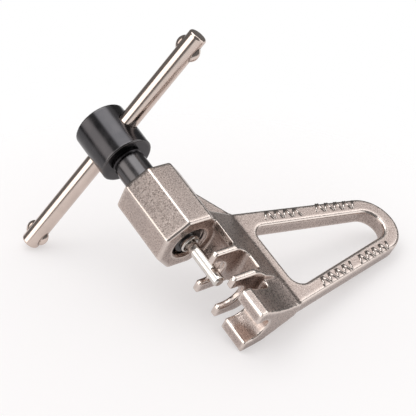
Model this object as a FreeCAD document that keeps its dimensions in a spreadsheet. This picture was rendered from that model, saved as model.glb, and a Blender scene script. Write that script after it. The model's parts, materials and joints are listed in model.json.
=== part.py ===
import FreeCAD, Part
import math
import os
import Sketcher
from FreeCAD import Placement, Rotation, Vector

# Pocket chain tool for bicycle chain.
# The drive screw lies on the X axis and pushes towards +X.  +Y runs from the chain
# seat to the finger loop and +Z is square to the flat loop plate.  The origin is on
# the screw axis, in the middle of the outer chain seat.

SIZES = {
    # barrel, an octagonal tube round the screw
    "across_flats": 19.05,
    "barrel_rear": -40.6,
    "barrel_front": -18.8,
    "bore_radius": 4.85,
    "mouth_radius": 5.6,
    "barrel_edge": 0.4,
    "barrel_rim": 0.9,
    # chain seats: two thin cross walls with a round cradle, and the anvil
    "cradle_radius": 4.2,
    "tooth_wall": 1.9,
    "seat_spacing": 8.8,
    "tooth_height": 2.3,
    "nest_floor": 9.4,
    "nose_floor": 5.8,
    "nose_room": 8.0,
    "nose_root": 1.5,
    "wide_root": 2.2,
    "tight_root": 0.9,
    "anvil_rear": 4.1,
    "anvil_front": 13.3,
    "anvil_lean": 4.5,
    "anvil_foot_front": 11.9,
    "scoop_rear": 1.6,
    "scoop_y": 20.5,
    "scoop_radius": 40,
    "scoop_step": 0.1,
    # spine, a tapered bar between the barrel and the anvil
    "spine_rear": -22.4,
    "spine_top_half": 8.05,
    "spine_waist": 5.64,
    "spine_foot": 16.7,
    "spine_edge": 0.6,
    # finger loop, a flat triangular ring with a round outer end
    "plate_half": 2.6,
    "gusset_rear": -36.8,
    "end_x": -4.4,
    "end_y": 58.9,
    "outer_radius": 10.1,
    "outer_lean_rear": 10.5,
    "outer_lean_front": 7.8,
    "inner_radius": 4.9,
    "inner_lean_rear": 9.8,
    "inner_lean_front": 8.6,
    "hole_start": 19.9,
    "hole_corner": 3.6,
    "loop_edge": 0.8,
    # drive screw
    "head_rear": -66.3,
    "head_front": -51.1,
    "head_radius": 8.15,
    "head_edge": 0.5,
    "relief_front": -50.0,
    "relief_radius": 4.3,
    "neck_radius": 4.78,
    "nose_face": -19.6,
    "nose_chamfer": 0.6,
    "socket_radius": 2.5,
    "socket_end": -33.9,
    "bar_x": -59.3,
    "bar_lean": 22.8,
    "bar_hole_radius": 2.9,
    # handle bar
    "bar_radius": 2.82,
    "bar_length": 83.8,
    "bar_shift": -0.95,
    "bar_chamfer": 0.7,
    "ear_reach": 4.15,
    "ear_length": 3.5,
    "ear_depth": 1.35,
    "upper_ear_inset": 5.0,
    "upper_ear_turn": 12,
    "lower_ear_inset": 4.2,
    "lower_ear_turn": 12,
    "crease_turn": 25,
    "crease_centre": 2.95,
    "crease_length": 2.5,
    "crease_width": 0.3,
    # driving pin and the bush that keeps it in the screw
    "pin_tip": -4.1,
    "pin_radius": 1.73,
    "pin_chamfer": 0.5,
    "pin_rear": -33.8,
    "flange_front": -31.8,
    "flange_radius": 2.44,
    "bush_rear": -31.7,
    "bush_front": -18.2,
    "bush_bore": 1.79,
    "bush_rim_radius": 2.95,
    "bush_rim_edge": 0.4,
    "countersink_radius": 2.35,
    "countersink_depth": 0.9,
}

doc = FreeCAD.newDocument("chain_tool")
sheet = doc.addObject("Spreadsheet::Sheet", "Sizes")
for row, (alias, size) in enumerate(SIZES.items(), start=1):
    sheet.set("A%d" % row, alias)
    sheet.set("B%d" % row, str(size))
    sheet.setAlias("B%d" % row, alias)
doc.recompute()


def size(text):
    """Value of an expression on the sheet, such as "Sizes.end_x + 2"."""
    value = sheet.evalExpression(text)
    return float(getattr(value, "Value", value))


def new_body(name):
    body = doc.addObject("PartDesign::Body", name)
    body.Label = name
    return body


def plane_sketch(body, name, role, turn_about_x=None):
    """Empty sketch on one of the body's own origin planes."""
    sketch = body.newObject("Sketcher::SketchObject", name)
    plane = [f for f in body.Origin.OriginFeatures if f.Role == role][0]
    sketch.AttachmentSupport = [(plane, "")]
    sketch.MapMode = "FlatFace"
    if turn_about_x is not None:
        sketch.AttachmentOffset = Placement(Vector(), Rotation(Vector(1, 0, 0), 0))
        sketch.setExpression("AttachmentOffset.Rotation.Angle", turn_about_x)
    return sketch


def pin_point(sketch, geometry, end, x_text, y_text):
    """Hold one vertex at a place given by two sheet expressions."""
    for kind, text in (("DistanceX", x_text), ("DistanceY", y_text)):
        index = sketch.addConstraint(Sketcher.Constraint(kind, -1, 1, geometry, end, size(text)))
        sketch.setExpression("Constraints[%d]" % index, text)


def polygon(sketch, corners):
    """Closed outline through corners given as pairs of sheet expressions."""
    points = [Vector(size(x), size(y), 0) for x, y in corners]
    count = len(points)
    for i in range(count):
        sketch.addGeometry(Part.LineSegment(points[i], points[(i + 1) % count]), False)
    for i in range(count):
        sketch.addConstraint(Sketcher.Constraint("Coincident", i, 2, (i + 1) % count, 1))
    for i, (x, y) in enumerate(corners):
        pin_point(sketch, i, 1, x, y)


def circle(sketch, x_text, y_text, radius_text):
    centre = Vector(size(x_text), size(y_text), 0)
    index = sketch.addGeometry(Part.Circle(centre, Vector(0, 0, 1), size(radius_text)), False)
    pin_point(sketch, index, 3, x_text, y_text)
    radius = sketch.addConstraint(Sketcher.Constraint("Radius", index, size(radius_text)))
    sketch.setExpression("Constraints[%d]" % radius, radius_text)


def feature(body, kind, name, sketch, **settings):
    """Sketch-based feature; text settings are sheet expressions."""
    made = body.newObject(kind, name)
    made.Profile = sketch
    for key, value in settings.items():
        if isinstance(value, str) and value.startswith("="):
            made.setExpression(key, value[1:])
        else:
            setattr(made, key, value)
    sketch.Visibility = False
    doc.recompute()
    return made


def pad_both_ways(body, name, sketch, length_text):
    return feature(body, "PartDesign::Pad", name, sketch, Midplane=True, Length=length_text)


def cut(body, kind, name, sketch, **settings):
    """Feature that has to take material away."""
    before = body.Shape.Volume
    made = feature(body, kind, name, sketch, **settings)
    if body.Shape.Volume > before - 0.01:
        raise RuntimeError(name + " cuts nothing")
    return made


def pocket_through(body, name, sketch):
    return cut(body, "PartDesign::Pocket", name, sketch, Midplane=True, Type="ThroughAll")


def groove(body, name, profile):
    """Full-turn cut about the profile's horizontal axis."""
    return cut(body, "PartDesign::Groove", name, profile, ReferenceAxis=(profile, ["H_Axis"]), Angle=360)


def revolve(body, name, sketch):
    """Full turn about the sketch's horizontal axis."""
    return feature(body, "PartDesign::Revolution", name, sketch,
                   ReferenceAxis=(sketch, ["H_Axis"]), Angle=360)


def edges_where(shape, test):
    return ["Edge%d" % (i + 1) for i, edge in enumerate(shape.Edges) if test(edge)]


def dress(body, kind, name, test, **settings):
    """Fillet or chamfer on every edge of the body's tip that passes the test."""
    base = body.Tip
    made = body.newObject(kind, name)
    made.Base = (base, edges_where(base.Shape, test))
    for key, text in settings.items():
        made.setExpression(key, text)
    doc.recompute()
    return made


# ---------------------------------------------------------------- tool body
# One casting: barrel, spine with two toothed chain seats, anvil and finger loop.
# Sketches on the YZ plane have Y across and Z up; the pads run along X.

def section_pad(body, name, corners, start_text, end_text):
    """Outline in the YZ plane, padded from x = start to x = end."""
    sketch = plane_sketch(body, name + "_outline", "YZ_Plane")
    polygon(sketch, corners)
    sketch.setExpression("AttachmentOffset.Base.z", start_text)
    return feature(body, "PartDesign::Pad", name, sketch, Length="=%s - (%s)" % (end_text, start_text))


def make_loop_plate(body):
    """Flat plate of the finger loop, with the gusset that joins it to the barrel."""
    end_x = "Sizes.end_x"
    end_y = "Sizes.end_y"

    def side(radius, lean, sign):
        """Tangent point of a straight side on the round end."""
        x = "%s %s Sizes.%s * cos(Sizes.%s * 1deg)" % (end_x, sign, radius, lean)
        y = "%s + Sizes.%s * sin(Sizes.%s * 1deg)" % (end_y, radius, lean)
        return x, y

    def foot(point, lean, sign, y):
        """Where that side, carried down, meets the level y."""
        return "%s %s (%s - %s) * tan(Sizes.%s * 1deg)" % (point[0], sign, point[1], y, lean), y

    rear = side("outer_radius", "outer_lean_rear", "-")
    front = side("outer_radius", "outer_lean_front", "+")
    spine_foot = "Sizes.spine_foot"
    inside = "Sizes.nest_floor + 2"
    corners = [
        ("Sizes.gusset_rear", "Sizes.across_flats / 2 - 1"),
        foot(rear, "outer_lean_rear", "-", spine_foot),
        rear,
        front,
        foot(front, "outer_lean_front", "+", spine_foot),
        ("Sizes.anvil_foot_front", inside),
        ("Sizes.barrel_front", inside),
        ("Sizes.barrel_front", "Sizes.across_flats / 2 - 1"),
    ]
    outline = plane_sketch(body, "loop_outline", "XY_Plane")
    polygon(outline, corners)
    pad_both_ways(body, "loop_plate", outline, "=2 * Sizes.plate_half")
    end = plane_sketch(body, "loop_end_outline", "XY_Plane")
    circle(end, end_x, end_y, "Sizes.outer_radius")
    pad_both_ways(body, "loop_end", end, "=2 * Sizes.plate_half")

    inner_rear = side("inner_radius", "inner_lean_rear", "-")
    inner_front = side("inner_radius", "inner_lean_front", "+")
    hole_start = "Sizes.hole_start"
    hole = plane_sketch(body, "finger_hole_outline", "XY_Plane")
    polygon(hole, [
        foot(inner_rear, "inner_lean_rear", "-", hole_start),
        inner_rear,
        inner_front,
        foot(inner_front, "inner_lean_front", "+", hole_start),
    ])
    pocket_through(body, "finger_hole", hole)
    hole_end = plane_sketch(body, "finger_hole_end_outline", "XY_Plane")
    circle(hole_end, end_x, end_y, "Sizes.inner_radius")
    pocket_through(body, "finger_hole_end", hole_end)

    def hole_corner(edge):
        box = edge.BoundBox
        upright = box.ZLength > 1 and box.XLength < 0.01 and box.YLength < 0.01
        return upright and abs(box.YMin - size(hole_start)) < 0.01

    dress(body, "PartDesign::Fillet", "finger_hole_corners", hole_corner, Radius="Sizes.hole_corner")


def make_spine(body):
    """Tapered bar under the chain seats; its foot is as thick as the loop plate."""
    corners = [
        ("-Sizes.tooth_height", "-Sizes.spine_top_half"),
        ("Sizes.spine_waist", "-Sizes.spine_top_half"),
        ("Sizes.spine_foot", "-Sizes.plate_half"),
        ("Sizes.spine_foot", "Sizes.plate_half"),
        ("Sizes.spine_waist", "Sizes.spine_top_half"),
        ("-Sizes.tooth_height", "Sizes.spine_top_half"),
    ]
    section_pad(body, "spine", corners, "Sizes.spine_rear", "Sizes.anvil_front")

    def top_corner(edge):
        box = edge.BoundBox
        along = box.YLength < 0.01 and box.ZLength < 0.01
        return along and box.YMin < 0 and abs(abs(box.ZMin) - size("Sizes.spine_top_half")) < 0.01

    dress(body, "PartDesign::Fillet", "spine_edges", top_corner, Radius="Sizes.spine_edge")


def make_barrel(body):
    """Octagonal barrel, flats facing +-Y and +-Z."""
    half = "Sizes.across_flats / 2"
    short = "Sizes.across_flats / 2 * tan(22.5deg)"
    corners = [
        (half, short), (short, half), ("-" + short, half), ("-" + half, short),
        ("-" + half, "-" + short), ("-" + short, "-" + half), (short, "-" + half), (half, "-" + short),
    ]
    section_pad(body, "barrel", corners, "Sizes.barrel_rear", "Sizes.barrel_front")
    dress(body, "PartDesign::Fillet", "barrel_edges",
          lambda edge: edge.BoundBox.XLength > 1, Radius="Sizes.barrel_edge")
    dress(body, "PartDesign::Fillet", "barrel_rims",
          lambda edge: edge.BoundBox.XLength < 0.01, Radius="Sizes.barrel_rim")


def cut_slot(body, name, start, end, floor):
    """Gap across the spine, from x = start to x = end, down to y = floor."""
    sketch = plane_sketch(body, name + "_outline", "XY_Plane")
    above = "-Sizes.across_flats"
    polygon(sketch, [(start, above), (end, above), (end, floor), (start, floor)])
    pocket_through(body, name, sketch)


def make_seats(body):
    """Chain seats: slots for the side plates, cradles for the rollers, anvil pocket."""
    half_wall = "Sizes.tooth_wall / 2"
    inner_rear = "-Sizes.seat_spacing - %s" % half_wall
    inner_front = "-Sizes.seat_spacing + %s" % half_wall
    cut_slot(body, "nose_slot", "Sizes.barrel_front", inner_rear, "Sizes.nose_floor")
    cut_slot(body, "plate_slot", inner_front, "-" + half_wall, "Sizes.nest_floor")
    cut_slot(body, "anvil_slot", half_wall, "Sizes.anvil_rear", "Sizes.nest_floor")

    def floor_corner(places):
        """Test for the edges along Z at any of these (x, y) corners of the slots."""
        def test(edge):
            box = edge.BoundBox
            straight = box.XLength < 0.01 and box.YLength < 0.01
            return straight and any(abs(box.XMin - size(x)) < 0.01 and abs(box.YMin - size(y)) < 0.01
                                    for x, y in places)
        return test

    nest_floor = "Sizes.nest_floor"
    for name, places in (
            ("nose_root", [(inner_rear, "Sizes.nose_floor")]),
            ("wide_root", [(inner_front, nest_floor)]),
            ("tight_root", [("-" + half_wall, nest_floor), (half_wall, nest_floor),
                            ("Sizes.anvil_rear", nest_floor)])):
        dress(body, "PartDesign::Fillet", name + "s", floor_corner(places), Radius="Sizes." + name)

    # the groove that all the rollers and the pushed pin lie in: round below, open above
    cradle = plane_sketch(body, "cradle_profile", "XY_Plane")
    beyond = "Sizes.anvil_front + 1"
    polygon(cradle, [
        ("Sizes.barrel_front", "0"), (beyond, "0"),
        (beyond, "Sizes.cradle_radius"), ("Sizes.barrel_front", "Sizes.cradle_radius"),
    ])
    groove(body, "cradle", cradle)
    mouth = plane_sketch(body, "cradle_mouth_outline", "XZ_Plane")
    reach = "Sizes.cradle_radius"
    polygon(mouth, [
        ("Sizes.barrel_front", "-" + reach), (beyond, "-" + reach),
        (beyond, reach), ("Sizes.barrel_front", reach),
    ])
    cut(body, "PartDesign::Pocket", "cradle_mouth", mouth, Length="=Sizes.across_flats", Reversed=True)

    nose = plane_sketch(body, "nose_room_profile", "XY_Plane")
    polygon(nose, [
        ("Sizes.barrel_front", "0"), (inner_rear, "0"),
        (inner_rear, "Sizes.nose_room"), ("Sizes.barrel_front", "Sizes.nose_room"),
    ])
    groove(body, "nose_room", nose)


def make_bore(body):
    """Screw bore through the barrel, flared at both mouths."""
    profile = plane_sketch(body, "bore_profile", "XY_Plane")
    flare = "(Sizes.mouth_radius - Sizes.bore_radius)"
    polygon(profile, [
        ("Sizes.barrel_rear", "0"),
        ("Sizes.barrel_front", "0"),
        ("Sizes.barrel_front", "Sizes.mouth_radius"),
        ("Sizes.barrel_front - %s" % flare, "Sizes.bore_radius"),
        ("Sizes.barrel_rear + %s" % flare, "Sizes.bore_radius"),
        ("Sizes.barrel_rear", "Sizes.mouth_radius"),
    ])
    groove(body, "bore", profile)


def scoop_anvil(body):
    """Hollow along the +Z side of the anvil and the outer seat."""
    scoop = plane_sketch(body, "anvil_scoop_outline", "YZ_Plane")
    circle(scoop, "Sizes.scoop_y", "Sizes.plate_half + Sizes.scoop_step + Sizes.scoop_radius",
           "Sizes.scoop_radius")
    scoop.setExpression("AttachmentOffset.Base.z", "Sizes.scoop_rear")
    cut(body, "PartDesign::Pocket", "anvil_scoop", scoop,
        Length="=Sizes.anvil_front - Sizes.scoop_rear", Reversed=True)


def trim_anvil(body):
    """Lean the front face of the anvil back towards the loop."""
    profile = plane_sketch(body, "anvil_trim_outline", "XY_Plane")
    run = "(Sizes.spine_foot + Sizes.tooth_height)"
    polygon(profile, [
        ("Sizes.anvil_front", "-Sizes.tooth_height - 1"),
        ("Sizes.anvil_front", "-Sizes.tooth_height"),
        ("Sizes.anvil_front - %s * tan(Sizes.anvil_lean * 1deg)" % run, "Sizes.spine_foot"),
        ("Sizes.anvil_front + 5", "Sizes.spine_foot"),
        ("Sizes.anvil_front + 5", "-Sizes.tooth_height - 1"),
    ])
    pocket_through(body, "anvil_trim", profile)


def round_loop(body):
    """Round the long edges of the finger loop, outside and inside."""
    def plate_rim(edge):
        box = edge.BoundBox
        on_face = box.ZLength < 0.01 and abs(abs(box.ZMin) - size("Sizes.plate_half")) < 0.01
        return on_face and box.YMax > size("Sizes.spine_foot") + 0.1

    dress(body, "PartDesign::Fillet", "loop_edges", plate_rim, Radius="Sizes.loop_edge")


def make_tool_body():
    body = new_body("tool_body")
    make_barrel(body)
    make_loop_plate(body)
    make_spine(body)
    scoop_anvil(body)
    make_seats(body)
    make_bore(body)
    trim_anvil(body)
    round_loop(body)
    return body


# ---------------------------------------------------------------- drive screw
def make_drive_screw():
    body = new_body("drive_screw")
    profile = plane_sketch(body, "screw_profile", "XY_Plane")
    polygon(profile, [
        ("Sizes.head_rear", "0"),
        ("Sizes.head_rear", "Sizes.head_radius"),
        ("Sizes.head_front", "Sizes.head_radius"),
        ("Sizes.head_front", "Sizes.relief_radius"),
        ("Sizes.relief_front", "Sizes.relief_radius"),
        ("Sizes.relief_front", "Sizes.neck_radius"),
        ("Sizes.nose_face - Sizes.nose_chamfer", "Sizes.neck_radius"),
        ("Sizes.nose_face", "Sizes.neck_radius - Sizes.nose_chamfer"),
        ("Sizes.nose_face", "Sizes.socket_radius"),
        ("Sizes.socket_end", "Sizes.socket_radius"),
        ("Sizes.socket_end", "0"),
    ])
    revolve(body, "screw_turned", profile)

    def head_rim(edge):
        box = edge.BoundBox
        flat = box.XLength < 0.01
        return flat and abs(box.YMax - size("Sizes.head_radius")) < 0.01

    dress(body, "PartDesign::Fillet", "head_edges", head_rim, Radius="Sizes.head_edge")
    hole = plane_sketch(body, "bar_hole_outline", "XY_Plane", "-Sizes.bar_lean * 1deg")
    circle(hole, "Sizes.bar_x", "0", "Sizes.bar_hole_radius")
    pocket_through(body, "bar_hole", hole)
    return body


# ---------------------------------------------------------------- driving pin and bush
def make_driving_pin():
    body = new_body("driving_pin")
    profile = plane_sketch(body, "pin_profile", "XY_Plane")
    polygon(profile, [
        ("Sizes.pin_rear", "0"),
        ("Sizes.pin_rear", "Sizes.flange_radius"),
        ("Sizes.flange_front", "Sizes.flange_radius"),
        ("Sizes.flange_front", "Sizes.pin_radius"),
        ("Sizes.pin_tip - Sizes.pin_chamfer", "Sizes.pin_radius"),
        ("Sizes.pin_tip", "Sizes.pin_radius - Sizes.pin_chamfer"),
        ("Sizes.pin_tip", "0"),
    ])
    revolve(body, "pin_turned", profile)
    return body


def make_pin_retainer():
    body = new_body("pin_retainer")
    profile = plane_sketch(body, "bush_profile", "XY_Plane")
    polygon(profile, [
        ("Sizes.bush_rear", "Sizes.bush_bore"),
        ("Sizes.bush_rear", "Sizes.socket_radius"),
        ("Sizes.nose_face", "Sizes.socket_radius"),
        ("Sizes.nose_face", "Sizes.bush_rim_radius"),
        ("Sizes.bush_front - Sizes.bush_rim_edge", "Sizes.bush_rim_radius"),
        ("Sizes.bush_front", "Sizes.bush_rim_radius - Sizes.bush_rim_edge"),
        ("Sizes.bush_front", "Sizes.countersink_radius"),
        ("Sizes.bush_front - Sizes.countersink_depth", "Sizes.bush_bore"),
    ])
    revolve(body, "bush_turned", profile)
    return body


# ---------------------------------------------------------------- handle bar
def ellipsoid(name, along, across, deep, place):
    """Ellipsoid with its half-length along Z, then its X and Y radii."""
    solid = doc.addObject("Part::Ellipsoid", name)
    solid.Placement = place
    solid.setExpression("Radius1", along)
    solid.setExpression("Radius2", across)
    solid.setExpression("Radius3", deep)
    solid.Angle1 = -90
    solid.Angle2 = 90
    solid.Angle3 = 360
    return solid


def make_handle_bar():
    """Round bar, pinched near both ends so that it can't leave the screw head."""
    rod = doc.addObject("Part::Cylinder", "bar_stock")
    rod.setExpression("Radius", "Sizes.bar_radius")
    rod.setExpression("Height", "Sizes.bar_length")
    rod.Placement = Placement(Vector(0, 0, -size("Sizes.bar_length / 2")), Rotation())
    doc.recompute()
    ends = doc.addObject("Part::Chamfer", "bar_ends")
    ends.Base = rod
    rims = [i + 1 for i, e in enumerate(rod.Shape.Edges) if e.BoundBox.ZLength < 0.01]
    chamfer = size("Sizes.bar_chamfer")
    ends.Edges = [(rim, chamfer, chamfer) for rim in rims]

    adds = [ends]
    cuts = []
    for end_name, sign in (("upper", 1), ("lower", -1)):
        inset = size("Sizes.%s_ear_inset" % end_name)
        turn = size("Sizes.%s_ear_turn" % end_name)
        centre = Vector(0, 0, sign * (size("Sizes.bar_length / 2") - inset))
        adds.append(ellipsoid("ear_" + end_name, "Sizes.ear_length", "Sizes.ear_reach",
                              "Sizes.ear_depth", Placement(centre, Rotation(Vector(0, 0, 1), turn))))
        # a crease on both sides of each ear, where the pinching punch pressed
        crease_turn = size("Sizes.crease_turn")
        for number, away in enumerate((crease_turn, -crease_turn, 180 - crease_turn, 180 + crease_turn)):
            spin = Rotation(Vector(0, 0, 1), turn + away)
            offset = spin.multVec(Vector(size("Sizes.crease_centre"), 0, 0))
            cuts.append(ellipsoid("crease_%s_%d" % (end_name, number), "Sizes.crease_length",
                                  "Sizes.crease_width", "Sizes.crease_width",
                                  Placement(centre + offset, spin)))
    whole = doc.addObject("Part::MultiFuse", "bar_with_ears")
    whole.Shapes = adds
    creases = doc.addObject("Part::MultiFuse", "bar_creases")
    creases.Shapes = cuts
    bar = doc.addObject("Part::Cut", "handle_bar")
    bar.Base = whole
    bar.Tool = creases
    bar.Label = "handle_bar"
    lean = size("Sizes.bar_lean")
    shift = size("Sizes.bar_shift")
    along = Vector(0, math.sin(math.radians(lean)), math.cos(math.radians(lean)))
    bar.Placement = Placement(Vector(size("Sizes.bar_x"), 0, 0) + along * shift,
                              Rotation(Vector(1, 0, 0), -lean))
    return bar


nodes = [make_tool_body(), make_drive_screw(), make_driving_pin(), make_pin_retainer(), make_handle_bar()]
doc.recompute()

for item in doc.Objects:
    bad = [state for state in item.State if state in ("Invalid", "Error")]
    if bad:
        raise RuntimeError("%s is %s" % (item.Name, bad[0]))
for node in nodes:
    if node.Shape.isNull() or not node.Shape.isValid() or len(node.Shape.Solids) != 1:
        raise RuntimeError(node.Label + " is not one valid solid")

os.makedirs("parts", exist_ok=True)
for node in nodes:
    node.Shape.exportStep("parts/%s.step" % node.Label)
    box = node.Shape.BoundBox
    print("%-14s volume %8.1f mm3  x %.2f..%.2f  y %.2f..%.2f  z %.2f..%.2f" % (
        node.Label, node.Shape.Volume, box.XMin, box.XMax, box.YMin, box.YMax, box.ZMin, box.ZMax))
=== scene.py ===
import json
import math

import bmesh
import bpy
import numpy as np
from mathutils import Matrix, Vector


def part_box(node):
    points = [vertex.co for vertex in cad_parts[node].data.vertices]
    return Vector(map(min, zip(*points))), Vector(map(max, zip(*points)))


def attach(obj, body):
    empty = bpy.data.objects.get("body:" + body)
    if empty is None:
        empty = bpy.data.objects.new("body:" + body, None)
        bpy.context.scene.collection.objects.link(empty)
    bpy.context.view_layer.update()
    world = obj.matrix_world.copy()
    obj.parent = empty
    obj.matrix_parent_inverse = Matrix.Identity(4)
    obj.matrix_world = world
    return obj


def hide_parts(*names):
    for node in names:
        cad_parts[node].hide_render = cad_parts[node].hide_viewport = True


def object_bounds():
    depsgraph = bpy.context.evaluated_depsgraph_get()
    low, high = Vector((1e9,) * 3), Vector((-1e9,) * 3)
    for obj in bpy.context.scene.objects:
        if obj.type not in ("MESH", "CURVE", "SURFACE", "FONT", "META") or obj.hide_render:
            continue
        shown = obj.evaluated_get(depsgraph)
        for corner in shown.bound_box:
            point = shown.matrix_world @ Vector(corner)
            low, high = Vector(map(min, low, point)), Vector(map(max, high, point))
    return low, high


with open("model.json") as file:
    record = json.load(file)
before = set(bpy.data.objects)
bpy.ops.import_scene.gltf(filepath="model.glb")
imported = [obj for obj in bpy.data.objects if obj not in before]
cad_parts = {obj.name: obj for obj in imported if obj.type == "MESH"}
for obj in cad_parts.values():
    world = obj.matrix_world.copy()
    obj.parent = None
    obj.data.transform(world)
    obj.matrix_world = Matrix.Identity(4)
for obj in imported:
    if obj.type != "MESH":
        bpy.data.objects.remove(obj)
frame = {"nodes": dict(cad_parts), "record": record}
cad_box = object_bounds()
scene = bpy.context.scene
MM = 0.001

# Camera of the picture, in the row frame, with the lens on a 36 mm wide sensor.
EYE = Vector((112.97, -197.38, 229.07)) * MM
RIGHT = Vector((0.55848, 0.75251, 0.34904))
UP = Vector((-0.71969, 0.23031, 0.65499))
BACK = Vector((0.41250, -0.61699, 0.67020))
LENS = 103.7
SENSOR = 36

# Places on the tool, in millimetres along the screw axis (x) and out from it (r).
BARREL_REAR = -40.6
BARREL_FRONT = -18.8
HEAD_REAR = -66.3
HEAD_FRONT = -51.1
HEAD_RADIUS = 8.15
NECK_RADIUS = 4.78
RELIEF_RADIUS = 4.3
NECK_START = -50.0
NOSE_FACE = -19.6
SOCKET_RADIUS = 2.5
SOCKET_END = -33.9
THREAD_START = -38.5
THREAD_PITCH = 25.4 / 24
BORE_CREST = 4.86
LINER_OUTSIDE = 5.95
BORE_CLEAR = 5.75
PLATE_TOP = 2.6
SEAT_WALLS = (-8.8, 0.0)
WALL_ROOT = 9.4
BAR_HOLE_X = -59.3
BAR_HOLE_RADIUS = 2.9
BAR_RADIUS = 2.82
BAR_LENGTH = 83.8
BAR_LEAN = math.radians(22.8)
BAR_SHIFT = -0.95

# Spacing of the even meshes laid over two CAD pieces.
CASTING_GRID = 0.292 * MM
HEAD_GRID = 0.19 * MM


# ------------------------------------------------------------------ node helpers
class Nodes:
    """Short names for building a node tree."""

    def __init__(self, tree):
        self.tree = tree
        tree.nodes.clear()

    def add(self, kind, **settings):
        node = self.tree.nodes.new(kind)
        for key, value in settings.items():
            setattr(node, key, value)
        return node

    def put(self, value, socket):
        if isinstance(value, bpy.types.NodeSocket):
            self.tree.links.new(value, socket)
        elif isinstance(value, tuple) and len(value) == 3 and socket.type == "RGBA":
            socket.default_value = (*value, 1)
        elif value is not None:
            socket.default_value = value

    def math(self, operation, a, b=None, c=None):
        node = self.add("ShaderNodeMath", operation=operation)
        for value, socket in zip((a, b, c), node.inputs):
            self.put(value, socket)
        return node.outputs[0]

    def vector(self, operation, a, b=None, out=0):
        node = self.add("ShaderNodeVectorMath", operation=operation)
        self.put(a, node.inputs[0])
        self.put(b, node.inputs[1])
        return node.outputs[out]

    def ramp(self, value, low, high, out_low=0.0, out_high=1.0):
        """Smooth step of value from low to high."""
        node = self.add("ShaderNodeMapRange", interpolation_type="SMOOTHSTEP")
        for number, socket in zip((value, low, high, out_low, out_high), node.inputs):
            self.put(number, socket)
        return node.outputs[0]

    def mix(self, factor, a, b, blend="MIX"):
        node = self.add("ShaderNodeMix", data_type="RGBA", blend_type=blend)
        self.put(factor, node.inputs[0])
        self.put(a, node.inputs[6])
        self.put(b, node.inputs[7])
        return node.outputs[2]

    def noise(self, place, scale, detail=2.0, stretch=None):
        """Noise with this many lumps a metre, longer along an axis where stretch is small."""
        if stretch:
            place = self.vector("MULTIPLY", place, stretch)
        node = self.add("ShaderNodeTexNoise")
        self.put(place, node.inputs["Vector"])
        node.inputs["Scale"].default_value = scale
        node.inputs["Detail"].default_value = detail
        return node.outputs["Fac"]

    def attribute(self, name):
        return self.add("ShaderNodeAttribute", attribute_name=name).outputs["Fac"]

    def crevice(self, reach):
        """Open sky share of a point, from 0 in a deep corner to 1 in the open."""
        node = self.add("ShaderNodeAmbientOcclusion", samples=6)
        node.inputs["Distance"].default_value = reach
        return node.outputs["AO"]

    def bump(self, height, strength, distance):
        node = self.add("ShaderNodeBump")
        node.inputs["Strength"].default_value = strength
        node.inputs["Distance"].default_value = distance
        self.put(height, node.inputs["Height"])
        return node.outputs[0]


# ------------------------------------------------------------------ materials
def metal(name, build):
    """Metallic material; build(nodes, place) gives its colour, roughness and normal."""
    material = bpy.data.materials.new(name)
    material.use_nodes = True
    nodes = Nodes(material.node_tree)
    output = nodes.add("ShaderNodeOutputMaterial")
    principled = nodes.add("ShaderNodeBsdfPrincipled")
    principled.inputs["Metallic"].default_value = 1.0
    nodes.put(principled.outputs[0], output.inputs[0])
    place = nodes.add("ShaderNodeTexCoord").outputs["Object"]
    for value, socket in zip(build(nodes, place), ("Base Color", "Roughness", "Normal")):
        nodes.put(value, principled.inputs[socket])
    return material


def cast_nickel(nodes, place):
    """Satin nickel over a bead-blasted casting, with painted highlights on its edges and painted shade in
    its grooves and corners.
    """
    grain = nodes.noise(place, 2100.0)
    pits = nodes.noise(place, 3900.0, 1.0)
    cloud = nodes.noise(place, 110.0, 4.0)
    edge = nodes.attribute("edge")
    groove = nodes.attribute("groove")
    colour = nodes.mix(nodes.ramp(cloud, 0.35, 0.68), (0.60, 0.495, 0.45), (0.53, 0.44, 0.405))
    colour = nodes.mix(nodes.ramp(grain, 0.38, 0.60, 0.45, 0.0), colour, (0.20, 0.155, 0.135))
    colour = nodes.mix(nodes.ramp(pits, 0.54, 0.70, 0.0, 0.55), colour, (0.92, 0.82, 0.76))
    # painted highlight: lighter colour on outward bends of the surface
    colour = nodes.mix(nodes.math("MULTIPLY", edge, 0.85), colour, (0.90, 0.80, 0.74))
    # painted shade: darker colour in inward bends of the surface
    colour = nodes.mix(nodes.math("MULTIPLY", groove, 0.35), colour, (0.22, 0.16, 0.13))
    # painted shade: darker colour in corners that see little open sky
    colour = nodes.mix(nodes.ramp(nodes.crevice(0.003), 0.2, 0.9, 0.4, 0.0), colour, (0.14, 0.10, 0.08))
    rough = nodes.ramp(grain, 0.3, 0.7, 0.25, 0.35)
    rough = nodes.math("SUBTRACT", rough, nodes.math("MULTIPLY", edge, 0.14))
    height = nodes.math("MULTIPLY_ADD", pits, 0.5, grain)
    return colour, rough, nodes.bump(height, 0.45, 0.00006)


def bright_nickel(nodes, place):
    """Bright plate on drawn bar, with faint smudges, fine scratches along the bar and painted shade in its
    grooves.
    """
    smudge = nodes.noise(place, 160.0, 3.0)
    scratch = nodes.noise(place, 9000.0, 1.0, (1.0, 0.12, 0.04))
    groove = nodes.attribute("groove")
    colour = nodes.mix(nodes.ramp(smudge, 0.35, 0.7), (0.82, 0.69, 0.62), (0.75, 0.63, 0.565))
    # painted shade: darker colour in inward bends, such as round the ears
    colour = nodes.mix(nodes.math("MULTIPLY", groove, 0.6), colour, (0.16, 0.12, 0.10))
    scuffed = nodes.ramp(scratch, 0.45, 0.8, 0.0, 0.05)
    rough = nodes.math("ADD", nodes.ramp(smudge, 0.3, 0.7, 0.10, 0.17), scuffed)
    return colour, rough, nodes.bump(scratch, 0.06, 0.00002)


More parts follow.
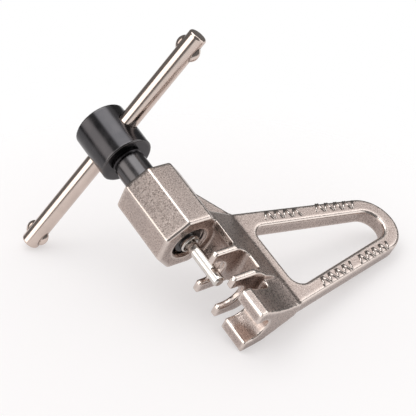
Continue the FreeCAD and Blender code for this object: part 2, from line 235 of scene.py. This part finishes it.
def black_oxide(nodes, place):
    """Oiled black oxide over fine turning marks, with a painted grey highlight on its edges and painted
    shade in its corners.
    """
    turning = nodes.noise(place, 7000.0, 2.0, (1.0, 0.02, 0.02))
    patch = nodes.noise(place, 240.0, 4.0)
    edge = nodes.attribute("edge")
    colour = nodes.mix(nodes.ramp(patch, 0.35, 0.7), (0.068, 0.065, 0.069), (0.086, 0.081, 0.085))
    # painted highlight: grey on outward bends of the surface
    colour = nodes.mix(nodes.math("MULTIPLY", edge, 0.25), colour, (0.35, 0.33, 0.32))
    # painted shade: near black in corners that see little open sky
    colour = nodes.mix(nodes.ramp(nodes.crevice(0.003), 0.2, 0.9, 0.6, 0.0), colour, (0.012, 0.012, 0.014))
    rough = nodes.ramp(patch, 0.3, 0.7, 0.17, 0.25)
    return colour, rough, nodes.bump(turning, 0.16, 0.00003)


def polished_steel(nodes, place):
    """Ground and polished round stock, with rings left by the grinding."""
    rings = nodes.noise(place, 9000.0, 1.0, (1.0, 0.03, 0.03))
    stain = nodes.noise(place, 500.0, 3.0)
    colour = nodes.mix(nodes.ramp(stain, 0.4, 0.75), (0.83, 0.79, 0.75), (0.72, 0.67, 0.62))
    # painted shade: darker colour in corners that see little open sky
    colour = nodes.mix(nodes.ramp(nodes.crevice(0.002), 0.2, 0.9, 0.4, 0.0), colour, (0.06, 0.05, 0.045))
    rough = nodes.ramp(rings, 0.35, 0.7, 0.08, 0.15)
    return colour, rough, nodes.bump(rings, 0.12, 0.00002)


MATERIALS = {
    "plated_casting": metal("plated_casting", cast_nickel),
    "bright_nickel": metal("bright_nickel", bright_nickel),
    "black_oxide_steel": metal("black_oxide_steel", black_oxide),
    "polished_steel": metal("polished_steel", polished_steel),
}
SLOTS = {part["node"]: part["material_slot"] for part in frame["record"]["subparts"]}
for node, slot in SLOTS.items():
    frame["nodes"][node].data.materials.clear()
    frame["nodes"][node].data.materials.append(MATERIALS[slot])


# ------------------------------------------------------------------ mesh tools
def read(items, name, width, kind=float):
    """One property of all vertices or edges, as rows of a table."""
    values = np.empty(len(items) * width, dtype=kind)
    items.foreach_get(name, values)
    return values.reshape(-1, width)


def write_points(mesh, points):
    mesh.vertices.foreach_set("co", points.ravel())
    mesh.update()


def neighbour_mean(values, edges):
    """Mean of each vertex's neighbours, for rows of numbers."""
    size = len(values)
    count = np.bincount(edges.ravel(), minlength=size)
    mean = np.empty_like(values)
    for column in range(values.shape[1]):
        numbers = values[:, column]
        mean[:, column] = np.bincount(edges[:, 0], numbers[edges[:, 1]], size)
        mean[:, column] += np.bincount(edges[:, 1], numbers[edges[:, 0]], size)
    return mean / count[:, None]


def bend(mesh, edges):
    """How far each vertex's neighbours stand proud of it: above 0 in a hollow."""
    points = read(mesh.vertices, "co", 3)
    normals = read(mesh.vertices, "normal", 3)
    return ((neighbour_mean(points, edges) - points) * normals).sum(axis=1)


def soften(mesh, rounds, hollow_rounds=0):
    """Smooth the whole mesh a little, then only its hollow corners, as casting fillets."""
    edges = read(mesh.edges, "vertices", 2, np.int32)
    points = read(mesh.vertices, "co", 3)
    for _ in range(rounds):
        points += 0.5 * (neighbour_mean(points, edges) - points)
    write_points(mesh, points)
    for _ in range(hollow_rounds):
        hollow = bend(mesh, edges) > 0
        points[hollow] += 0.5 * (neighbour_mean(points, edges) - points)[hollow]
        write_points(mesh, points)


def mark_painted_light(mesh, full_bend, spread):
    """Store where the surface turns out ("edge") or in ("groove"), from 0 to 1, as masks for painted
    highlight and painted shade.
    """
    edges = read(mesh.edges, "vertices", 2, np.int32)
    turned = bend(mesh, edges)[:, None]
    for _ in range(spread):
        turned = neighbour_mean(turned, edges)
    for name, value in (("edge", -turned), ("groove", turned)):
        layer = mesh.attributes.new(name, "FLOAT", "POINT")
        layer.data.foreach_set("value", np.clip(value.ravel() / full_bend, 0, 1))


def show(name, mesh, node, body, stands_in=True):
    """Make a piece from a mesh, in the finish of a CAD node and riding on its body."""
    mesh.name = name
    mesh.shade_smooth()
    mesh.materials.clear()
    mesh.materials.append(MATERIALS[SLOTS[node]])
    piece = bpy.data.objects.new(name, mesh)
    scene.collection.objects.link(piece)
    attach(piece, body)
    if stands_in:
        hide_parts(node)


def remeshed(node, voxel):
    """Even fine mesh over a CAD node."""
    welded = bmesh.new()
    welded.from_mesh(frame["nodes"][node].data)
    bmesh.ops.remove_doubles(welded, verts=welded.verts, dist=0.001 * MM)
    source = bpy.data.meshes.new(node + "_source")
    welded.to_mesh(source)
    welded.free()
    holder = bpy.data.objects.new(node + "_source", source)
    scene.collection.objects.link(holder)
    remesh = holder.modifiers.new("remesh", "REMESH")
    remesh.mode = "VOXEL"
    remesh.voxel_size = voxel
    made = holder.evaluated_get(bpy.context.evaluated_depsgraph_get())
    mesh = bpy.data.meshes.new_from_object(made)
    bpy.data.objects.remove(holder)
    bpy.data.meshes.remove(source)
    return mesh


def rounded(corners, steps=5):
    """Outline through (x, r, radius) corners, each rounded to its radius."""
    path = []
    for i, (x, r, radius) in enumerate(corners):
        corner = Vector((x, r))
        if radius == 0:
            path.append(corner)
            continue
        before = (Vector(corners[i - 1][:2]) - corner).normalized()
        after = (Vector(corners[(i + 1) % len(corners)][:2]) - corner).normalized()
        half_angle = before.angle(after) / 2
        reach = radius / math.tan(half_angle)
        centre = corner + (before + after).normalized() * radius / math.sin(half_angle)
        start = corner + before * reach - centre
        end = corner + after * reach - centre
        first = math.atan2(start.y, start.x)
        sweep = math.atan2(start.x * end.y - start.y * end.x, start.dot(end))
        # one more point on each straight keeps the shading of the straight flat
        path.append(corner + before * reach * 1.4)
        for step in range(steps + 1):
            angle = first + sweep * step / steps
            path.append(centre + radius * Vector((math.cos(angle), math.sin(angle))))
        path.append(corner + after * reach * 1.4)
    return path


def turned(name, outline, tube=False, sides=96, thread=None):
    """Mesh turned about the X axis from an (x, r) outline in millimetres."""
    x, r = np.array([(p[0], p[1]) for p in outline]).T
    turn = np.linspace(0, 2 * math.pi, sides, endpoint=False)[:, None]
    r = r + (thread(x, turn) if thread else 0 * turn)
    points = np.stack([x + 0 * r, r * np.cos(turn), r * np.sin(turn)], axis=-1) * MM
    count = len(outline)
    faces = []
    for i in range(sides):
        row, beside = i * count, (i + 1) % sides * count
        for j in range(count if tube else count - 1):
            ahead = (j + 1) % count
            faces.append((row + j, row + ahead, beside + ahead, beside + j))
    mesh = bpy.data.meshes.new(name)
    mesh.from_pydata(points.reshape(-1, 3).tolist(), [], faces)
    return cleaned(mesh)


def cleaned(*meshes):
    """One mesh from these, with doubled points merged and all faces turned outwards."""
    whole = bmesh.new()
    for mesh in meshes:
        whole.from_mesh(mesh)
    bmesh.ops.remove_doubles(whole, verts=whole.verts, dist=0.0002 * MM)
    bmesh.ops.dissolve_degenerate(whole, edges=whole.edges, dist=0.0001 * MM)
    bmesh.ops.recalc_face_normals(whole, faces=whole.faces)
    result = bpy.data.meshes.new("cleaned")
    whole.to_mesh(result)
    whole.free()
    return result


# ------------------------------------------------------------------ tool body
def round_walls(mesh, rounds, swell):
    """Round the thin toothed walls of the two chain seats, then fill them out again."""
    edges = read(mesh.edges, "vertices", 2, np.int32)
    points = read(mesh.vertices, "co", 3)
    x, y = points[:, 0] / MM, points[:, 1] / MM
    share = np.zeros(len(points))
    for wall in SEAT_WALLS:
        share = np.maximum(share, np.clip(1.8 - np.abs(x - wall), 0, 1))
    share *= np.clip((WALL_ROOT - y) / 2, 0, 1)
    for _ in range(rounds):
        points += 0.5 * share[:, None] * (neighbour_mean(points, edges) - points)
    write_points(mesh, points)
    points += swell * share[:, None] * read(mesh.vertices, "normal", 3)
    write_points(mesh, points)


def make_casting():
    """The body with the soft corners of a casting, and room for the threaded liner."""
    mesh = remeshed("tool_body", CASTING_GRID)
    soften(mesh, 3, 14)
    round_walls(mesh, 8, 0.1 * MM)
    points = read(mesh.vertices, "co", 3)
    out = np.hypot(points[:, 1], points[:, 2])
    along = points[:, 0] / MM
    inside = (along > BARREL_REAR - 1) & (along < BARREL_FRONT + 0.2) & (out < BORE_CLEAR * MM)
    points[inside, 1:] *= (BORE_CLEAR * MM / out[inside])[:, None]
    write_points(mesh, points)
    mark_painted_light(mesh, 0.018 * MM, 2)
    show("tool_body_casting", mesh, "tool_body", "tool_body")


def make_barrel_thread():
    """Screw thread in the barrel, opening out at both mouths."""
    inset = 0.25
    lead = 0.9
    rear = BARREL_REAR + inset
    front = BARREL_FRONT - inset
    bore = [(x, BORE_CREST) for x in np.arange(rear + lead, front - lead, THREAD_PITCH / 8)]
    mouth = BORE_CLEAR - 0.05
    outline = [(rear, mouth), *bore, (front, mouth), (front, LINER_OUTSIDE), (rear, LINER_OUTSIDE)]

    def thread(x, turn):
        cut_here = (x > rear + lead) & (x < front - lead)
        return cut_here * 0.45 * ridge(x, turn)

    mesh = turned("barrel_thread", outline, True, 96, thread)
    show("barrel_thread", mesh, "tool_body", "tool_body", False)


def ridge(x, turn):
    """Right-hand screw thread: 0 on its crest to 1 in its root."""
    phase = (x / THREAD_PITCH - turn / (2 * math.pi)) % 1.0
    return np.abs(2 * phase - 1)


def make_ribs():
    """Zigzag rows of plain raised ribs on the two limbs of the finger loop, for grip."""
    spacing = 1.7
    slant = math.radians(24)
    width, length, height = 0.85, 3.4, 0.24
    rows = {
        "loop_ribs_rear": [((-18.3, 27.1), (-16.0, 38.4)), ((-15.4, 45.5), (-12.6, 58.7))],
        "loop_ribs_front": [((7.7, 28.5), (6.2, 41.3)), ((5.4, 46.1), (4.25, 58.8))],
    }
    for name, lines in rows.items():
        row = bmesh.new()
        for start, end in lines:
            start, end = Vector((*start, PLATE_TOP)), Vector((*end, PLATE_TOP))
            count = round((end - start).length / spacing)
            heading = (end - start).to_track_quat("Y", "Z").to_matrix().to_4x4()
            for i in range(count + 1):
                place = Matrix.Translation(start.lerp(end, i / count))
                turn = Matrix.Rotation(slant if i % 2 else -slant, 4, "Z")
                shape = Matrix.Diagonal((length, width, 2 * height, 1))
                bmesh.ops.create_cube(row, size=1, matrix=place @ heading @ turn @ shape)
        bmesh.ops.bevel(row, geom=row.edges, offset=0.14, segments=3, affect="EDGES", clamp_overlap=True)
        bmesh.ops.scale(row, vec=(MM, MM, MM), verts=row.verts)
        mesh = bpy.data.meshes.new(name)
        row.to_mesh(mesh)
        row.free()
        mark_painted_light(mesh, 0.02 * MM, 0)
        show(name, mesh, "tool_body", "tool_body", False)


# ------------------------------------------------------------------ screw, pin and bush
def bar_axis():
    """Direction of the leaning handle bar, towards its upper end."""
    return Vector((0, math.sin(BAR_LEAN), math.cos(BAR_LEAN)))


def make_screw():
    """Cross-drilled head with softened edges, on a turned neck with a rolled thread."""
    head = remeshed("drive_screw", HEAD_GRID)
    soften(head, 5)
    points = read(head.vertices, "co", 3) / MM
    out = np.hypot(points[:, 1], points[:, 2])
    near = 0.08
    side = np.abs(out - HEAD_RADIUS) < near
    points[side, 1:] *= (HEAD_RADIUS / out[side])[:, None]
    axis = np.array(bar_axis())
    offset = points - np.array((BAR_HOLE_X, 0, 0))
    offset -= np.outer(offset @ axis, axis)
    away = np.linalg.norm(offset, axis=1)
    hole = (np.abs(away - BAR_HOLE_RADIUS) < near) & ~side
    points[hole] += offset[hole] * (BAR_HOLE_RADIUS / away[hole] - 1)[:, None]
    for face in (HEAD_REAR, HEAD_FRONT):
        flat = (np.abs(points[:, 0] - face) < near) & (out < HEAD_RADIUS - 0.6)
        points[flat, 0] = face
    write_points(head, points * MM)

    # keep the head, and close it where the neck starts
    kept = bmesh.new()
    kept.from_mesh(head)
    joint = (HEAD_FRONT + NECK_START) / 2 * MM
    bmesh.ops.bisect_plane(kept, geom=kept.verts[:] + kept.edges[:] + kept.faces[:],
                           plane_co=(joint, 0, 0), plane_no=(1, 0, 0), clear_outer=True)
    bmesh.ops.holes_fill(kept, edges=[e for e in kept.edges if e.is_boundary])
    kept.to_mesh(head)
    kept.free()

    nose_start = NOSE_FACE - 0.6
    lead = 1.2
    samples = np.arange(THREAD_START, nose_start - 0.2, THREAD_PITCH / 8)
    neck = rounded([
        (joint / MM - 0.1, 0, 0), (joint / MM - 0.1, RELIEF_RADIUS, 0),
        (NECK_START, RELIEF_RADIUS, 0.12), (NECK_START, NECK_RADIUS, 0.2),
        (THREAD_START - 0.2, NECK_RADIUS, 0)])
    nose = rounded([
        (nose_start, NECK_RADIUS - 0.1, 0), (NOSE_FACE, NECK_RADIUS - 0.7, 0.15),
        (NOSE_FACE, SOCKET_RADIUS, 0.1), (SOCKET_END, SOCKET_RADIUS, 0), (SOCKET_END, 0, 0)])
    outline = [*neck, *((x, NECK_RADIUS) for x in samples), *nose]

    def thread(x, turn):
        grown = np.clip((x - THREAD_START) / lead, 0, 1) * (x <= nose_start - 0.2)
        return -0.5 * grown * ridge(x, turn)

    shank = turned("shank", outline, False, 96, thread)
    mesh = cleaned(head, shank)
    mark_painted_light(mesh, 0.012 * MM, 2)
    show("drive_screw_turned", mesh, "drive_screw", "drive_screw")


def make_pin_and_bush():
    """Flanged driving pin, and the bush that keeps it in the screw's nose."""
    pin = rounded([
        (-33.8, 0, 0), (-33.8, 2.44, 0.2), (-31.8, 2.44, 0.2), (-31.8, 1.73, 0.1),
        (-4.65, 1.73, 0.5), (-4.1, 1.2, 0.35), (-4.1, 0, 0)])
    mesh = turned("driving_pin", pin)
    show("driving_pin_ground", mesh, "driving_pin", "driving_pin")
    bush = rounded([
        (-31.7, 1.79, 0), (-31.7, SOCKET_RADIUS, 0.1), (NOSE_FACE + 0.02, SOCKET_RADIUS, 0),
        (NOSE_FACE + 0.02, 2.95, 0.12), (-18.2, 2.95, 0.42), (-18.2, 2.35, 0.12), (-19.1, 1.79, 0.1)])
    mesh = turned("pin_retainer", bush, True)
    show("pin_retainer_turned", mesh, "pin_retainer", "drive_screw")


# ------------------------------------------------------------------ handle bar
def smooth_max(a, b, blend):
    """The larger of two values, with a rounded join where they are within blend."""
    near = np.clip(0.5 + 0.5 * (a - b) / blend, 0, 1)
    return b + near * (a - b) + blend * near * (1 - near)


def make_bar():
    """Round bar with a pair of pinched ears near each end."""
    half = BAR_LENGTH / 2
    ears = (half - 5.0, 4.2 - half)
    ear_heading = math.radians(12)
    ear_length, ear_reach, ear_depth = 3.5, 4.15, 1.35
    moat_depth, moat_width = 0.16, 0.22
    end_round = 0.7
    fine = 0.14
    ear_zone = 9.0
    slope = np.linspace(0, math.pi / 2, 7)
    cap = half - end_round + end_round * np.sin(slope)
    dense = np.arange(half - ear_zone, half - end_round, fine)
    plain = np.arange(ear_zone - half, half - ear_zone, 1.5)
    t = np.concatenate([-cap[::-1], -dense[::-1], plain[1:], dense, cap])
    end = np.maximum(np.abs(t) - (half - end_round), 0)
    stock = BAR_RADIUS - end_round + np.sqrt(np.maximum(end_round ** 2 - end ** 2, 0))
    sides = 128
    turn = np.linspace(0, 2 * math.pi, sides, endpoint=False)
    radius = np.repeat(stock[:, None], sides, axis=1)
    spin = turn - ear_heading
    for centre in ears:
        along = (t - centre) / ear_length
        section = np.sqrt(np.clip(1 - along ** 2, 0, 1))[:, None] + 1e-6
        ear = section / np.sqrt((np.cos(spin) / ear_reach) ** 2 + (np.sin(spin) / ear_depth) ** 2)
        moat = moat_depth * np.exp(-((ear - stock[:, None]) / moat_width) ** 2)
        moat *= (np.abs(along) < 1)[:, None]
        radius = smooth_max(radius, ear, 0.12) - moat
    points = np.stack([radius * np.cos(turn), radius * np.sin(turn), t[:, None] + 0 * radius], axis=-1)
    points = np.concatenate([points.reshape(-1, 3), [(0, 0, t[0]), (0, 0, t[-1])]])
    faces = []
    for i in range(len(t) - 1):
        for j in range(sides):
            beside = (j + 1) % sides
            faces.append((i * sides + j, i * sides + beside, (i + 1) * sides + beside, (i + 1) * sides + j))
    last = (len(t) - 1) * sides
    pole = len(t) * sides
    for j in range(sides):
        beside = (j + 1) % sides
        faces.append((j, pole, beside))
        faces.append((last + j, last + beside, pole + 1))
    mesh = bpy.data.meshes.new("bar")
    mesh.from_pydata((points * MM).tolist(), [], faces)
    lean = Matrix.Rotation(-BAR_LEAN, 4, "X")
    place = Matrix.Translation((Vector((BAR_HOLE_X, 0, 0)) + bar_axis() * BAR_SHIFT) * MM)
    mesh.transform(place @ lean)
    mesh = cleaned(mesh)
    mark_painted_light(mesh, 0.010 * MM, 1)
    show("handle_bar_plated", mesh, "handle_bar", "handle_bar")


make_casting()
make_barrel_thread()
make_ribs()
make_screw()
make_pin_and_bush()
make_bar()


# ------------------------------------------------------------------ floor
def resting_plane():
    """Plane under the three points the tool lies on: bar end, anvil and loop end."""
    bar = [v.co.copy() for v in frame["nodes"]["handle_bar"].data.vertices]
    body = [v.co.copy() for v in frame["nodes"]["tool_body"].data.vertices]
    anvil = [p for p in body if p.y < 5 * MM]
    loop = [p for p in body if p.y > 45 * MM]
    normal = Vector((-0.378, -0.123, 0.918))
    for _ in range(6):
        a, b, c = (min(group, key=normal.dot) for group in (bar, anvil, loop))
        normal = (b - a).cross(c - a).normalized()
        if normal.z < 0:
            normal.negate()
    return a, normal


rest_point, floor_normal = resting_plane()


# in metres
FLOOR_RADIUS = 0.16
FLOOR_FADE = 0.055
FLOOR_GAP = 0.1 * MM


def make_floor():
    """Pale disc that fades out to the white backdrop, and is clear from below."""
    low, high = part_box("tool_body")[0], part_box("drive_screw")[1]
    centre = Vector(low).lerp(Vector(high), 0.5)
    centre = centre - floor_normal * (centre - rest_point).dot(floor_normal)
    sheet = bmesh.new()
    bmesh.ops.create_circle(sheet, cap_ends=True, segments=64, radius=FLOOR_RADIUS)
    mesh = bpy.data.meshes.new("floor")
    sheet.to_mesh(mesh)
    sheet.free()
    floor = bpy.data.objects.new("floor", mesh)
    scene.collection.objects.link(floor)
    turn = floor_normal.to_track_quat("Z", "Y").to_matrix().to_4x4()
    floor.matrix_world = Matrix.Translation(centre - floor_normal * FLOOR_GAP) @ turn
    material = bpy.data.materials.new("floor")
    material.use_nodes = True
    nodes = Nodes(material.node_tree)
    output = nodes.add("ShaderNodeOutputMaterial")
    # the metal mirrors the floor a little darker than the eye sees it
    mirrored = nodes.add("ShaderNodeLightPath").outputs["Is Glossy Ray"]
    paper = nodes.add("ShaderNodeBsdfDiffuse")
    nodes.put(nodes.mix(mirrored, (0.52, 0.51, 0.51), (0.42, 0.41, 0.41)), paper.inputs["Color"])
    glow = nodes.add("ShaderNodeEmission")
    nodes.put(nodes.mix(mirrored, (0.43, 0.42, 0.42), (0.34, 0.33, 0.33)), glow.inputs["Color"])
    lit = nodes.add("ShaderNodeAddShader")
    nodes.put(paper.outputs[0], lit.inputs[0])
    nodes.put(glow.outputs[0], lit.inputs[1])
    clear = nodes.add("ShaderNodeBsdfTransparent")
    place = nodes.add("ShaderNodeTexCoord").outputs["Object"]
    away = nodes.vector("LENGTH", place, out=1)
    fade = nodes.ramp(away, FLOOR_FADE, 0.9 * FLOOR_RADIUS, 1.0, 0.0)
    front = nodes.math("SUBTRACT", 1.0, nodes.add("ShaderNodeNewGeometry").outputs["Backfacing"])
    shown = nodes.add("ShaderNodeMixShader")
    nodes.put(nodes.math("MULTIPLY", fade, front), shown.inputs[0])
    nodes.put(clear.outputs[0], shown.inputs[1])
    nodes.put(lit.outputs[0], shown.inputs[2])
    nodes.put(shown.outputs[0], output.inputs[0])
    mesh.materials.append(material)


make_floor()


# ------------------------------------------------------------------ light
# What the metal mirrors: a dark room over light ground, and soft boxes painted over each
# other in this order. Each has its direction (picture's right, up, towards the camera),
# the angles in degrees where it starts and ends fading, its strength and colour, and
# whether it ends at the straight far edge.
BOXES = [
    ((0.35, 0.93, 0.05), 22, 28, 0.5, (1, 1, 1), True),
    ((0.66, 0.75, -0.03), 8, 18, 1.8, (1, 1, 1), True),
    ((0.97, 0.08, 0.22), 12, 30, 1.2, (1, 1, 1), False),
    ((-0.40, 0.40, 0.82), 9, 18, 1.5, (1, 1, 1), False),
    ((-0.05, 0.92, 0.40), 20, 28, 2.5, (0.97, 0.99, 1.0), False),
    ((-0.84, 0.02, 0.54), 20, 29, 1.9, (1.0, 0.97, 0.94), False),
]
ROOM_DARK = 0.14
GROUND_LIGHT = 0.78
HORIZON = (-0.20, -0.05)
FAR_EDGE = (-0.24, -0.17)
WHITE_BACKDROP = 1.0
SOFT_FILL = 0.92


def camera_side(x, y, z):
    """Unit direction given along the picture's right, up and towards the camera."""
    return (RIGHT * x + UP * y + BACK * z).normalized()


def make_world():
    """White backdrop to the eye, soft fill on dull surfaces, and the room in metal."""
    world = bpy.data.worlds.new("studio")
    scene.world = world
    world.use_nodes = True
    nodes = Nodes(world.node_tree)
    ray = nodes.add("ShaderNodeLightPath")
    look = nodes.vector("NORMALIZE", nodes.add("ShaderNodeTexCoord").outputs["Generated"])

    def disc(direction, inner, outer):
        """1 inside an angle of inner degrees from the direction, 0 past outer."""
        cosine = nodes.vector("DOT_PRODUCT", look, tuple(direction), out=1)
        return nodes.ramp(cosine, math.cos(math.radians(outer)), math.cos(math.radians(inner)))

    def backdrop(strength, colour=(1.0, 1.0, 1.0)):
        background = nodes.add("ShaderNodeBackground")
        nodes.put(colour, background.inputs["Color"])
        nodes.put(strength, background.inputs["Strength"])
        return background.outputs[0]

    def choose(factor, otherwise, chosen):
        mixed = nodes.add("ShaderNodeMixShader")
        for value, socket in zip((factor, otherwise, chosen), mixed.inputs):
            nodes.put(value, socket)
        return mixed.outputs[0]

    above = nodes.vector("DOT_PRODUCT", look, tuple(floor_normal), out=1)
    ground = nodes.ramp(above, *HORIZON, 1.0, 0.0)
    room = choose(ground, backdrop(ROOM_DARK), backdrop(GROUND_LIGHT))
    near_side = nodes.ramp(nodes.vector("DOT_PRODUCT", look, tuple(BACK), out=1), *FAR_EDGE)
    for direction, inner, outer, strength, colour, edged in BOXES:
        box = disc(camera_side(*direction), inner, outer)
        if edged:
            box = nodes.math("MULTIPLY", near_side, box)
        room = choose(box, room, backdrop(strength, colour))
    seen = choose(ray.outputs["Is Glossy Ray"], backdrop(WHITE_BACKDROP), room)
    seen = choose(ray.outputs["Is Diffuse Ray"], seen, backdrop(SOFT_FILL))
    nodes.put(seen, nodes.add("ShaderNodeOutputWorld").inputs[0])


def area_light(name, direction, distance, width, power, colour):
    """Round soft light aimed at the middle of the tool; metal doesn't mirror it."""
    light = bpy.data.lights.new(name, "AREA")
    light.shape = "DISK"
    light.size = width
    light.energy = power
    light.color = colour
    lamp = bpy.data.objects.new(name, light)
    scene.collection.objects.link(lamp)
    middle = (Vector(cad_box[0]) + Vector(cad_box[1])) / 2
    lamp.location = middle + direction * distance
    lamp.rotation_mode = "QUATERNION"
    lamp.rotation_quaternion = direction.to_track_quat("Z", "Y")
    lamp.visible_glossy = False


make_world()
overhead = (floor_normal + camera_side(-0.3, 0.5, 0)).normalized()
area_light("overhead", overhead, distance=0.5, width=0.45, power=0.5, colour=(1.0, 0.985, 0.97))


# ------------------------------------------------------------------ camera
eye = bpy.data.cameras.new("camera")
eye.sensor_width = SENSOR
eye.lens = LENS
eye.clip_start = 0.01
camera = bpy.data.objects.new("camera", eye)
scene.collection.objects.link(camera)
camera.matrix_world = Matrix((
    (RIGHT.x, UP.x, BACK.x, EYE.x),
    (RIGHT.y, UP.y, BACK.y, EYE.y),
    (RIGHT.z, UP.z, BACK.z, EYE.z),
    (0, 0, 0, 1),
))
scene.camera = camera
scene.view_settings.view_transform = "Standard"
